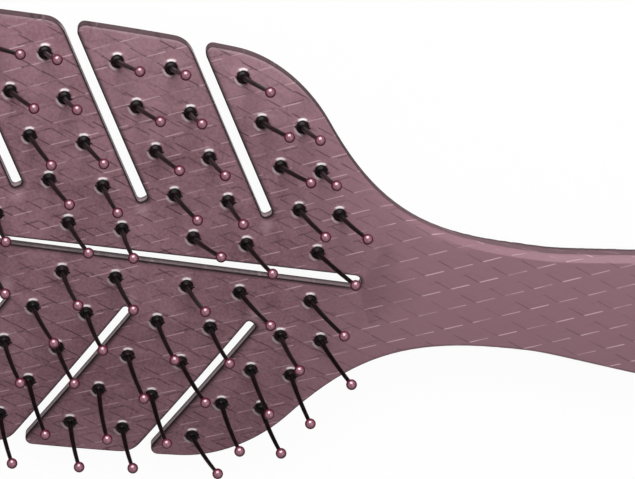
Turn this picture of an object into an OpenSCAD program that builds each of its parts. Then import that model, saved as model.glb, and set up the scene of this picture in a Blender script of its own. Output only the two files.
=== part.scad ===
// Detangling brush: a one-piece leaf-shaped body with slotted lobes, and rows of pins with ball tips.
// X runs from the tip of the head to the end of the handle, Y across, Z out of the pin side.
// The origin is under the middle of the whole brush, on the surface that its back lies on.

/* [Head] */
// Distance from the tip of the head to the inner end of the first slot
tip_len = 36.5; // [32:0.5:44]
// Distance from one slot to the next
lobe_pitch = 23; // [21:0.5:26]
// Distance from the last slot to the narrowest place of the neck
neck_len = 51.5; // [46:0.5:60]
// Width of the head where it is widest
head_w = 82; // [76:1:90]
// Thickness of the head
plate_t = 3.1; // [2.6:0.1:3.8]
// Radius to which the pin side is rounded across the head
crown_r = 176; // [156:2:220]

/* [Slots] */
// Width of the slots between the lobes
slot_w = 2; // [1.4:0.1:2.6]
// Distance from the midrib line to the inner ends of the slots
slot_inner_y = 10.4; // [9:0.2:12]
// Angle at which slots and pin rows sweep back towards the tip
sweep = 30.5; // [24:0.5:34]
// Rounding of the sharp corner of each lobe
lobe_tip_r = 1.3; // [0.8:0.1:2]
// Rounding of the blunt corner of each lobe
lobe_heel_r = 4.5; // [2:0.5:6]
// Width of the midrib slot at the neck
midrib_w = 2.4; // [1.6:0.1:3]
// Width of the midrib slot at the tip
midrib_tip_w = 0.9; // [0.7:0.1:1.4]

/* [Handle] */
// Distance from the narrowest place of the neck to the end of the handle
handle_len = 78; // [66:1:100]
// Width of the neck where it is narrowest
neck_w = 19.1; // [16:0.1:22]
// Width of the grip
grip_w = 26.2; // [22:0.1:32]
// Thickness of the handle
handle_t = 8; // [6:0.1:9]
// Diameter of the hanging hole
hang_d = 6; // [4:0.5:8]
// Distance from the end of the handle to the middle of the hanging hole
hang_inset = 12; // [10:0.5:16]

/* [Pins] */
// Distance from pin to pin along a row
pin_pitch = 8.8; // [7.5:0.05:9.5]
// Distance between the two rows of a lobe
row_pitch = 9.85; // [8.5:0.05:10.5]
// Distance from the midrib line to the first pin of a row
first_pin_y = 4.7; // [4:0.1:5.5]
// Distance from the plate to the ball tips' middles in the long rows
long_pin = 18.6; // [15:0.1:22]
// Distance from the plate to the ball tips' middles in the short rows
short_pin = 17.6; // [14:0.1:21]
// Diameter of the ball tips
ball_d = 2; // [1.7:0.05:2.3]
// Diameter of a pin where it leaves the plate
root_d = 1; // [0.9:0.05:1.2]
// Diameter of a pin under its ball tip
shaft_d = 0.75; // [0.65:0.05:0.85]
// Diameter of the pin's shank in the plate
shank_d = 2.3; // [2:0.05:2.5]
// Diameter of the pin's head at the back of the plate
head_d = 3.5; // [3.1:0.1:3.8]

/* [Hidden] */

// Sides of the brush: left is +Y with the pins up and the handle towards +X
LEFT = 1;
RIGHT = -1;

slots = 4;
slot_run = (slots - 1) * lobe_pitch;
length = tip_len + slot_run + neck_len + handle_len;
tip_x = -length / 2;
first_slot_x = tip_x + tip_len;
last_slot_x = first_slot_x + slot_run;
neck_x = last_slot_x + neck_len;
end_x = length / 2;

// How far the back of the head's edges lies below the crown, and the height of the crown
head_drop = crown_r - sqrt(pow(crown_r - plate_t, 2) - pow(head_w / 2, 2));
crown_z = max(head_drop, handle_t);

// Steps of a curve and facets of a round
curve_steps = 9;
corner_steps = 6;
round_fn = 48;
pin_fn = 24;
// How far a cutter runs past what it cuts
overrun = 2;

// A point of a cubic curve, and a run of its points without the first
function curve_at(p, t) =
    pow(1 - t, 3) * p[0] + 3 * pow(1 - t, 2) * t * p[1] + 3 * (1 - t) * pow(t, 2) * p[2] + pow(t, 3) * p[3];
function curve(p) = [for (i = [1:curve_steps]) curve_at(p, i / curve_steps)];

// Shares of the sizes that the outline follows
belly_share = 0.235;
tip_lift_share = 0.52;
tip_reach_share = 0.15;
tip_full_share = 0.385;
shoulder_share = -0.19;
shoulder_w_share = 0.965;
shoulder_slope = -0.076;
flare_share = 0.176;
flare_w_share = 0.693;
flare_slope = -1.33;
shoulder_in_share = 0.15;
shoulder_out_share = 0.08;
flare_out_share = 0.217;
neck_in_share = 0.415;
belly_out_share = 0.32;
shoulder_back_share = 0.295;
grip_share = 0.647;
neck_out_share = 0.1;
grip_in_share = 0.33;
end_w_share = 0.58;
end_len_share = 0.56;
edge_step_share = 0.05;
slot_end_share = 0.35;
midrib_end_share = 0.34;

// Stations of one half of the outline: belly, shoulder, flare, neck, grip and end
belly = [first_slot_x + belly_share * slot_run, head_w / 2];
shoulder = [last_slot_x + shoulder_share * neck_len, shoulder_w_share * head_w / 2];
flare = [last_slot_x + flare_share * neck_len, flare_w_share * head_w / 2];
neck = [neck_x, neck_w / 2];
grip = [neck_x + grip_share * handle_len, grip_w / 2];
tip_room = belly.x - tip_x;
belly_room = shoulder.x - belly.x;
end_room = end_x - grip.x;

half_outline = concat(
    [[tip_x, 0]],
    curve([[tip_x, 0], [tip_x + tip_reach_share * tip_room, tip_lift_share * head_w / 2],
        [belly.x - tip_full_share * tip_room, head_w / 2], belly]),
    curve([belly, belly + [belly_out_share * belly_room, 0],
        shoulder - shoulder_back_share * belly_room * [1, shoulder_slope], shoulder]),
    curve([shoulder, shoulder + shoulder_in_share * neck_len * [1, shoulder_slope],
        flare - shoulder_out_share * neck_len * [1, flare_slope], flare]),
    curve([flare, flare + flare_out_share * neck_len * [1, flare_slope],
        neck - [neck_in_share * neck_len, 0], neck]),
    curve([neck, neck + [neck_out_share * handle_len, 0],
        grip - [grip_in_share * handle_len, 0], grip]),
    curve([grip, grip + [end_len_share * end_room, 0], [end_x, end_w_share * grip_w / 2], [end_x, 0]])
);
function mirrored(points) = [for (i = [len(points) - 1:-1:0]) [points[i].x, -points[i].y]];
outline = concat(half_outline, [for (p = mirrored(half_outline)) if (p.x > tip_x && p.x < end_x) p]);

// Half width of the outline at x, and the outline's direction there
function edge_y(x) = lookup(x, half_outline);
edge_step = edge_step_share * lobe_pitch;
function edge_dir(x) = unit([2 * edge_step, edge_y(x + edge_step) - edge_y(x - edge_step)]);
function unit(v) = v / norm(v);

// Points of an arc of radius r that rounds the corner c between the directions a and b
function corner(c, a, b, r) =
    let (half = acos(a * b) / 2, mid = c + unit(a + b) * r / sin(half))
    let (from = c + a * r / tan(half) - mid, to = c + b * r / tan(half) - mid)
    [for (i = [0:corner_steps]) mid + unit(from * (1 - i / corner_steps) + to * i / corner_steps) * r];

// Direction of slots and rows, outwards and back towards the tip, and the direction across them
out_dir = [-sin(sweep), cos(sweep)];
cross_dir = [cos(sweep), sin(sweep)];
slot_end_r = slot_end_share * slot_w;

// Where a line along out_dir from p meets the outline: three steps are enough on so flat an edge
function meet(p, y) = p + out_dir * (y - p.y) / out_dir.y;
function edge_point(p) = meet(p, edge_y(meet(p, edge_y(meet(p, edge_y(p.x)).x)).x));

// One slot from its inner end to past the outline, with both lobe corners rounded
function slot_points(x) =
    let (
        base = [x, slot_inner_y],
        heel = edge_point(base - cross_dir * slot_w / 2),
        point = edge_point(base + cross_dir * slot_w / 2),
        heel_arc = corner(heel, -out_dir, -edge_dir(heel.x - lobe_heel_r), lobe_heel_r),
        point_arc = corner(point, edge_dir(point.x + lobe_tip_r), -out_dir, lobe_tip_r),
        away = [-edge_dir(base.x).y, edge_dir(base.x).x] * overrun
    )
    concat(
        corner(base - cross_dir * slot_w / 2, cross_dir, out_dir, slot_end_r),
        heel_arc,
        [heel_arc[corner_steps] + away, heel + away, point + away, point_arc[0] + away],
        point_arc,
        corner(base + cross_dir * slot_w / 2, out_dir, -cross_dir, slot_end_r)
    );

// The midrib slot tapers from the neck towards the tip
midrib_x = [first_slot_x - midrib_end_share * tip_len, last_slot_x + midrib_end_share * neck_len];

// Pin rows of one half, from the neck to the tip: place of each at the first pin's distance from the midrib
slot_line_x = last_slot_x + (slot_inner_y - first_pin_y) * tan(sweep);
row_side_gap = (lobe_pitch - row_pitch) / 2;
neck_row_share = 0.76;
tip_rows = 2;
tip_pitch_share = 1.08;
row_x = concat(
    [slot_line_x + row_side_gap + neck_row_share * row_pitch],
    [for (i = [0:slots - 1], off = [row_side_gap, -row_side_gap]) slot_line_x - i * lobe_pitch + off],
    [for (i = [1:tip_rows]) slot_line_x - slot_run - row_side_gap - i * tip_pitch_share * row_pitch]
);
rows = len(row_x);
// The neck's own row starts one pin further out, clear of the midrib slot's end
function first_pin(row) = row == 0 ? 1 : 0;
// Long rows lie on the tip side of each lobe
function is_long(row) = row % 2 == 1;
function pin_height(row) = is_long(row) ? long_pin : short_pin;
// Lean of the shafts towards the handle in long and short rows, on the left and on the right half
long_lean = [11.5, 9.5];
short_lean = [6.5, 10.5];
function row_lean(side, row) = (is_long(row) ? long_lean : short_lean)[side == LEFT ? 0 : 1];

// Least distance from a pin to the outline, and the places of a row's pins
pin_edge = 2.6;
most_pins = 7;
function pin_place(row, i) = [row_x[row], first_pin_y] + i * pin_pitch * out_dir;
function fits(p) = (edge_y(p.x) - p.y) * edge_dir(p.x).x > pin_edge;
function row_places(row) = [for (i = [first_pin(row):most_pins - 1])
    if (i == first_pin(row) || fits(pin_place(row, i))) pin_place(row, i)];

// Pin: head, shank and wings in the plate, a collar on it, and the spigot in the ball tip
pin_head_t = 1;
collar_t = 0.4;
spigot_share = 0.85;
spigot_d = spigot_share * shaft_d;
fit_gap = 0.03;
wing_reach = 0.4;
wing_span = shank_d + 2 * wing_reach;
wing_w = 0.35;
wing_rise = 0.12;

// Puts its children on the plate's pin side at p, square to the curved plate
module on_plate(side, p) {
    slope = asin(p.y / crown_r);
    translate([p.x, side * p.y, crown_z - crown_r + sqrt(pow(crown_r, 2) - pow(p.y, 2))])
        rotate([-side * slope, 0, 0])
            children();
}

// A bar along X with its middle on the pin's axis, for the pin's two wings and their notches
module wing_bar(gap, top) {
    translate([-wing_span / 2 - gap, -wing_w / 2 - gap, pin_head_t - plate_t])
        cube([wing_span + 2 * gap, wing_w + 2 * gap, plate_t - pin_head_t + top]);
}

// The pin's foot stands square in the plate, and its shaft leans from the collar
module pin_foot() {
    rotate_extrude($fn = pin_fn)
        polygon([
            [0, -plate_t], [head_d / 2, -plate_t], [head_d / 2, pin_head_t - plate_t],
            [shank_d / 2, pin_head_t - plate_t], [shank_d / 2, wing_rise], [root_d / 2, collar_t], [0, collar_t]
        ]);
    wing_bar(0, wing_rise);
}

module pin_shaft(height) {
    spigot_z = height - ball_d / 2;
    rotate_extrude($fn = pin_fn)
        polygon([
            [0, 0], [root_d / 2, 0], [shaft_d / 2, spigot_z],
            [spigot_d / 2, spigot_z], [spigot_d / 2, height], [0, height]
        ]);
}

module ball_tip(height) {
    translate([0, 0, height])
        difference() {
            sphere(d = ball_d, $fn = pin_fn);
            translate([0, 0, -ball_d])
                cylinder(h = ball_d, d = spigot_d + 2 * fit_gap, $fn = pin_fn);
        }
}

// The stepped hole that a pin is pushed into from the back, with notches for its wings
module pin_seat() {
    rotate_extrude($fn = pin_fn)
        polygon([
            [0, -plate_t - overrun], [head_d / 2 + fit_gap, -plate_t - overrun],
            [head_d / 2 + fit_gap, pin_head_t - plate_t], [shank_d / 2 + fit_gap, pin_head_t - plate_t],
            [shank_d / 2 + fit_gap, overrun], [0, overrun]
        ]);
    wing_bar(fit_gap, overrun);
}

// The head is a slab between two cylinders along X, and fades out under the neck
fade_r_share = 2.5;
fade_start_share = 0.4;
fade_r = fade_r_share * neck_len;
fade_x = last_slot_x + fade_start_share * neck_len;
module head_slab() {
    intersection() {
        translate([tip_x - overrun, 0, crown_z - crown_r])
            rotate([0, 90, 0])
                difference() {
                    cylinder(r = crown_r, h = neck_x - tip_x + overrun, $fn = round_fn);
                    translate([0, 0, -overrun])
                        cylinder(r = crown_r - plate_t, h = neck_x - tip_x + 3 * overrun, $fn = round_fn);
                }
        union() {
            translate([tip_x - overrun, -head_w, -overrun])
                cube([fade_x - tip_x + overrun, 2 * head_w, crown_z + 2 * overrun]);
            translate([fade_x, 0, crown_z - fade_r])
                rotate([90, 0, 0])
                    cylinder(r = fade_r, h = 2 * head_w, center = true, $fn = round_fn);
        }
    }
}

// Side view of the handle's core: it comes out of the head, deepens and has a round end
core_start_share = 0.39;
core_rise_share = 0.66;
core_deep_share = 0.95;
core_in_share = 0.35;
end_round_share = 0.9;
core_x = last_slot_x + core_start_share * neck_len;
core_rise_x = last_slot_x + core_rise_share * neck_len;
core_deep_x = last_slot_x + core_deep_share * neck_len;
end_round = end_round_share * handle_t;
function ease(from, to, steps) = [for (i = [0:steps])
    [from.x + (to.x - from.x) * i / steps, from.y + (to.y - from.y) * (1 - cos(180 * i / steps)) / 2]];
function end_arc(mid, rx, ry) = [for (i = [0:2 * corner_steps])
    mid + [rx * sin(90 * i / corner_steps), ry * cos(90 * i / corner_steps)]];
core_profile = concat(
    ease([core_x, crown_z - core_in_share * plate_t], [core_rise_x, crown_z], corner_steps),
    end_arc([end_x - end_round, crown_z - handle_t / 2], end_round, handle_t / 2),
    ease([core_deep_x, crown_z - handle_t], [core_x, crown_z - (1 - core_in_share) * plate_t], 2 * corner_steps)
);
core_top_share = 2;
core_back_share = 1.2;
core_top_r = core_top_share * grip_w;
core_back_r = core_back_share * grip_w;
module handle_core() {
    core_len = end_x - core_x;
    intersection() {
        rotate([90, 0, 0])
            linear_extrude(2 * grip_w, center = true)
                polygon(core_profile);
        translate([core_x, 0, crown_z - core_top_r])
            rotate([0, 90, 0])
                cylinder(r = core_top_r, h = core_len + overrun, $fn = round_fn);
        translate([core_x, 0, crown_z - handle_t + core_back_r])
            rotate([0, 90, 0])
                cylinder(r = core_back_r, h = core_len + overrun, $fn = round_fn);
    }
}

module brush_body() color("#8b6570") {
    cut_z = crown_z + 2 * overrun;
    difference() {
        intersection() {
            translate([0, 0, -overrun])
                linear_extrude(cut_z)
                    polygon(outline);
            union() {
                head_slab();
                handle_core();
            }
        }
        for (i = [0:slots - 1], side = [LEFT, RIGHT])
            translate([0, 0, -overrun])
                linear_extrude(cut_z)
                    polygon([for (p = slot_points(first_slot_x + i * lobe_pitch)) [p.x, side * p.y]]);
        translate([0, 0, -overrun])
            linear_extrude(cut_z) {
                polygon([
                    [midrib_x[0], -midrib_tip_w / 2], [midrib_x[1], -midrib_w / 2],
                    [midrib_x[1], midrib_w / 2], [midrib_x[0], midrib_tip_w / 2]
                ]);
                translate([midrib_x[0], 0]) circle(d = midrib_tip_w, $fn = pin_fn);
                translate([midrib_x[1], 0]) circle(d = midrib_w, $fn = pin_fn);
            }
        translate([end_x - hang_inset, 0, -overrun])
            cylinder(d = hang_d, h = cut_z, $fn = round_fn);
        for (side = [LEFT, RIGHT], row = [0:rows - 1], p = row_places(row))
            on_plate(side, p) pin_seat();
    }
}

module pins(side, number) color("#1d1518") {
    row = number - 1;
    for (p = row_places(row))
        on_plate(side, p) {
            pin_foot();
            rotate([0, row_lean(side, row), 0]) pin_shaft(pin_height(row));
        }
}

module tips(side, number) color("#b06a82") {
    row = number - 1;
    for (p = row_places(row))
        on_plate(side, p)
            rotate([0, row_lean(side, row), 0]) ball_tip(pin_height(row));
}

brush_body();
pins(LEFT, 1);  // left_pins_1
pins(LEFT, 2);  // left_pins_2
pins(LEFT, 3);  // left_pins_3
pins(LEFT, 4);  // left_pins_4
pins(LEFT, 5);  // left_pins_5
pins(LEFT, 6);  // left_pins_6
pins(LEFT, 7);  // left_pins_7
pins(LEFT, 8);  // left_pins_8
pins(LEFT, 9);  // left_pins_9
pins(LEFT, 10);  // left_pins_10
pins(LEFT, 11);  // left_pins_11
pins(RIGHT, 1);  // right_pins_1
pins(RIGHT, 2);  // right_pins_2
pins(RIGHT, 3);  // right_pins_3
pins(RIGHT, 4);  // right_pins_4
pins(RIGHT, 5);  // right_pins_5
pins(RIGHT, 6);  // right_pins_6
pins(RIGHT, 7);  // right_pins_7
pins(RIGHT, 8);  // right_pins_8
pins(RIGHT, 9);  // right_pins_9
pins(RIGHT, 10);  // right_pins_10
pins(RIGHT, 11);  // right_pins_11
tips(LEFT, 1);  // left_tips_1
tips(LEFT, 2);  // left_tips_2
tips(LEFT, 3);  // left_tips_3
tips(LEFT, 4);  // left_tips_4
tips(LEFT, 5);  // left_tips_5
tips(LEFT, 6);  // left_tips_6
tips(LEFT, 7);  // left_tips_7
tips(LEFT, 8);  // left_tips_8
tips(LEFT, 9);  // left_tips_9
tips(LEFT, 10);  // left_tips_10
tips(LEFT, 11);  // left_tips_11
tips(RIGHT, 1);  // right_tips_1
tips(RIGHT, 2);  // right_tips_2
tips(RIGHT, 3);  // right_tips_3
tips(RIGHT, 4);  // right_tips_4
tips(RIGHT, 5);  // right_tips_5
tips(RIGHT, 6);  // right_tips_6
tips(RIGHT, 7);  // right_tips_7
tips(RIGHT, 8);  // right_tips_8
tips(RIGHT, 9);  // right_tips_9
tips(RIGHT, 10);  // right_tips_10
tips(RIGHT, 11);  // right_tips_11
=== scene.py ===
"""Looks of a detangling brush: a leaf-shaped vented body, black nylon pins and glossy ball tips."""

import math
import random

import bmesh
import bpy
from bpy.props import FloatProperty, FloatVectorProperty, PointerProperty
from mathutils import Matrix, Vector
from mathutils.kdtree import KDTree


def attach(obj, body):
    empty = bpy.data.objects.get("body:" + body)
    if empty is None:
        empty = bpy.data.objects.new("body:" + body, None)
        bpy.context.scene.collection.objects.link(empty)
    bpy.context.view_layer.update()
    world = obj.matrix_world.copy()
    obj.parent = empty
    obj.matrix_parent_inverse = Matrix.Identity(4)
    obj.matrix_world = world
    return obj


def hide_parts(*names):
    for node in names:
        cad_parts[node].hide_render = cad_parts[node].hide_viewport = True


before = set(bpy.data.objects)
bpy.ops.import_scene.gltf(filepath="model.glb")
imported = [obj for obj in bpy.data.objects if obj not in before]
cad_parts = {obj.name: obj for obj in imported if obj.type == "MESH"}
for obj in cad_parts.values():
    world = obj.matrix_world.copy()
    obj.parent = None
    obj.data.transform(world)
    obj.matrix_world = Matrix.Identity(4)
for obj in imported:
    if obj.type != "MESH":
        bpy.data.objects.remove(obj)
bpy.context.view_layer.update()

bl_info = {
    "name": "Detangling Brush",
    "version": (1, 0, 0),
    "blender": (4, 5, 0),
    "location": "View3D > Sidebar > Brush",
    "description": "Builds the body, pins and ball tips of a vented detangling brush",
    "category": "Object",
}

MM = 0.001
LEFT = 1
RIGHT = -1
SIDE_NAMES = {LEFT: "left", RIGHT: "right"}
# Slots on each half, and the rows beyond the first of them with their distance in row pitches
SLOTS = 4
TIP_ROWS = 2
TIP_PITCH = 1.08
# More pins than the longest row holds
MOST_PINS = 7
# Width of the photograph in pixels and of the camera's sensor in millimetres
PHOTO_WIDTH = 635
SENSOR = 36.0
# Strength of the surroundings as a light; seen or mirrored they are plain white
SKY_LIGHT = 0.36

ALONG = Vector((1, 0, 0))
ACROSS = Vector((0, 1, 0))
# Distances under which points count as one: in a profile or ring, in a cut, and in the merge after the cuts
SAME = 1e-7
CUT_SAME = 1e-6
MERGE_SAME = 2e-6
# Reach of the loops beside an edge; the second one carries the handle's bevel and is widened there
LANDS = (0.8 * MM, 0.72 * MM, 0.66 * MM, 0.36 * MM)
# Places of the loops down a wall, as shares of the plate's thickness
WALL_STEPS = (0.3, 0.65, 0.85)
# Depths, as shares of the thickness, that count as the rim of the face and as the back
FACE_DEPTH = 0.05
BACK_DEPTH = 0.999
# Room round a pin's shank in its seat, and wall of the sleeve that grips its shaft
SEAT_ROOM = 0.03 * MM
SLEEVE_WALL = 0.06 * MM

# Lean towards the handle of the shafts in long and short rows, in degrees
LONG_LEAN = {LEFT: 11.5, RIGHT: 9.5}
SHORT_LEAN = {LEFT: 6.5, RIGHT: 10.5}
# The first pins of the rows at the neck lean further, and the right half's pins tilt a little to the left
NECK_LEAN = 6.5
NECK_ROWS = 3
RIGHT_TILT = 2
# Pins that use has bent: row and place in the row, with more degrees of lean and of tilt
BENT_PINS = {
    LEFT: {
        (1, 1): (-2, 2.5), (2, 4): (0.5, -3), (2, 2): (1.5, 3), (3, 3): (-2.5, 1.5), (4, 0): (2, 7),
        (5, 2): (4.5, -2), (5, 1): (2.5, -2), (6, 4): (5, 0.5), (6, 2): (1.5, -6), (6, 3): (2, -1),
    },
    RIGHT: {
        (1, 0): (0, -5), (1, 1): (0, -5), (2, 1): (-1, 2.5), (2, 4): (4, 10), (3, 2): (3.5, 0),
        (3, 3): (-1, -2), (3, 4): (-4.5, 6), (4, 0): (-1, 5), (4, 3): (-3.5, -2), (4, 4): (-2.5, 4),
        (5, 2): (1, 3), (5, 3): (2, -6), (6, 1): (3, 1.5), (6, 2): (2, 1.5),
    },
}


def linear(hex_colour):
    """An sRGB hex colour as linear red, green and blue."""
    parts = [int(hex_colour[i:i + 2], 16) / 255 for i in (1, 3, 5)]
    return tuple(c / 12.92 if c <= 0.04045 else ((c + 0.055) / 1.055) ** 2.4 for c in parts)


def length(name, millimetres, description):
    """A length that a user may change, given in millimetres."""
    return FloatProperty(name=name, description=description, default=millimetres * MM, unit="LENGTH")


def colour(name, hex_colour, description):
    """A colour that a user may change, given in sRGB."""
    return FloatVectorProperty(
        name=name, description=description, default=linear(hex_colour), subtype="COLOR", min=0, max=1)


class BrushBodySizes(bpy.types.PropertyGroup):
    """Sizes of the one-piece head and handle."""

    tip_len: length("Tip", 36.5, "From the tip of the head to the inner end of the first slot")
    lobe_pitch: length("Lobe pitch", 23, "From one slot to the next")
    neck_len: length("Neck", 51.5, "From the last slot to the narrowest place of the neck")
    head_w: length("Head width", 82, "Width of the head where it is widest")
    plate_t: length("Head thickness", 3.1, "Thickness of the head")
    crown_r: length("Crown radius", 176, "Radius to which the pin side is rounded across the head")
    slot_w: length("Slot width", 2, "Width of the slots between the lobes")
    slot_inner_y: length("Slot ends", 10.4, "From the midrib line to the inner ends of the slots")
    sweep: FloatProperty(
        name="Sweep", description="Angle at which slots and rows sweep back towards the tip",
        default=math.radians(30.5), subtype="ANGLE")
    lobe_tip_r: length("Lobe tip rounding", 1.3, "Rounding of the sharp corner of each lobe")
    lobe_heel_r: length("Lobe heel rounding", 4.5, "Rounding of the blunt corner of each lobe")
    midrib_w: length("Midrib slot at the neck", 2.4, "Width of the midrib slot at the neck")
    midrib_tip_w: length("Midrib slot at the tip", 0.9, "Width of the midrib slot at the tip")
    handle_len: length("Handle", 78, "From the narrowest place of the neck to the end")
    neck_w: length("Neck width", 19.1, "Width of the neck where it is narrowest")
    grip_w: length("Grip width", 26.2, "Width of the grip")
    handle_t: length("Handle thickness", 8, "Thickness of the handle")
    hang_d: length("Hanging hole", 6, "Diameter of the hanging hole")
    hang_inset: length("Hanging hole inset", 12, "From the end of the handle to the middle of the hole")
    edge_round: length("Edge rounding", 0.22, "Rounding of the edges of head and slots on the pin side")
    back_edge_round: length("Back edge rounding", 0.1, "Rounding of the same edges at the back")
    edge_shade: length("Edge shade", 0.9, "How far the deep tone of an edge reaches into the face")
    bevel_w: length("Handle bevel", 1.25, "Width of the bevel along the handle's left edge")
    bevel_right_w: length("Right handle bevel", 0.52, "Width of the bevel along the handle's right edge")
    back_round: length("Handle back edges", 1.2, "Rounding of the handle's long edges at the back")
    handle_crown_r: length("Handle crown", 130, "Radius across the handle's face on the pin side")
    handle_back_r: length("Handle back", 31.4, "Radius across the handle's back")
    lip_rise: length("Lip height", 0.14, "Height of the lip round each pin hole")
    lip_w: length("Lip width", 0.65, "Width of the lip round each pin hole")


class BrushPinSizes(bpy.types.PropertyGroup):
    """Sizes of the pins and of their ball tips."""

    pin_pitch: length("Pin pitch", 8.8, "From pin to pin along a row")
    row_pitch: length("Row pitch", 9.85, "Between the two rows of a lobe")
    first_pin_y: length("First pin", 4.7, "From the midrib line to the first pin of a row")
    long_pin: length("Long pins", 18.6, "From the plate to the ball tips' middles in the long rows")
    short_pin: length("Short pins", 17.6, "From the plate to the ball tips' middles in the short rows")
    pin_edge: length("Edge distance", 2.6, "Least distance from a pin to the outline")
    ball_d: length("Ball tip", 2, "Diameter of the ball tips")
    root_d: length("Pin root", 1, "Diameter of a pin where it leaves the plate")
    shaft_d: length("Pin end", 0.75, "Diameter of a pin under its ball tip")
    shank_d: length("Pin shank", 2.3, "Diameter of the shank in the plate")
    head_d: length("Pin head", 3.5, "Diameter of the pin's head at the back")
    head_t: length("Pin head thickness", 1, "Thickness of the pin's head at the back")
    wing_span: length("Wing span", 3, "Length over both wings of the shank")
    wing_w: length("Wing width", 0.36, "Width of the wings of the shank")
    wing_rise: length("Wing height", 0.3, "How far the wings stand out of the plate")
    bow: length("Pin bow", 0.25, "How far a shaft bows towards its root's upright")
    stray: FloatProperty(
        name="Stray lean", description="How far single pins stray from their row's lean",
        default=math.radians(0.6), subtype="ANGLE")


class BrushFinishes(bpy.types.PropertyGroup):
    """Colours of the mouldings."""

    body: colour("Body", "#84606a", "Translucent mauve plastic")
    body_deep: colour("Body in depth", "#735059", "The same plastic where one looks through more of it")
    # Painted shade: walls and edges, the face beside the slots, and the inside of the right half of each pin
    # hole
    painted_edge_shade: colour("Body edges", "#1a1013", "Edges and walls, where the plastic looks deepest")
    # Painted light: highlights on the strokes that face the light, pale patches at the slots' inner ends and
    # the paler outer lobes; also the plastic's own fine speckle
    painted_light_and_speckle: colour("Light strokes", "#cfaeb6", "Scale strokes that face the light")
    # Painted shade on the strokes that face away from the light; also the plastic's own knit lines and the
    # back's strokes showing through
    painted_shade_and_pattern: colour("Dark strokes", "#4e343b", "Scale strokes that face away from it")
    # Painted highlight: pale crescents on each pin hole's lip, a faint streak down the slot walls and a faint
    # pale rim along the left outline
    lip: colour("Lips", "#fff6f8", "Stress-whitened lip round each pin")
    nylon: colour("Pins", "#070506", "Black nylon")
    nylon_sheen: colour("Pin sheen", "#1d0e12", "Plum tinge of the nylon on the shafts")
    body_thick: colour("Handle", "#87656e", "The same plastic in the thick handle")
    ball: colour("Ball tips", "#7e4156", "Translucent mauve pink")
    ball_deep: colour("Ball tips in depth", "#54192e", "The same at the rim of the ball")


class BrushStage(bpy.types.PropertyGroup):
    """Camera and light."""

    distance: length("Camera distance", 646, "From the camera to the origin")
    floor_drop: length("Floor", 0.2, "How far the floor lies under the back")
    scale: FloatProperty(
        name="Pixels a millimetre", description="Scale of the photograph in the camera's plane of focus",
        default=5.432)
    pitch: FloatProperty(name="Pitch", description="Turn about X", default=0.2977, subtype="ANGLE")
    yaw: FloatProperty(name="Yaw", description="Turn about Y", default=0.101, subtype="ANGLE")
    roll: FloatProperty(name="Roll", description="Turn about Z", default=-0.1503, subtype="ANGLE")
    across: length("Sideways", 1.39, "How far the origin lies beside the picture's middle")
    down: length("Downwards", -7.17, "How far the origin lies above the picture's middle")


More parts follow.
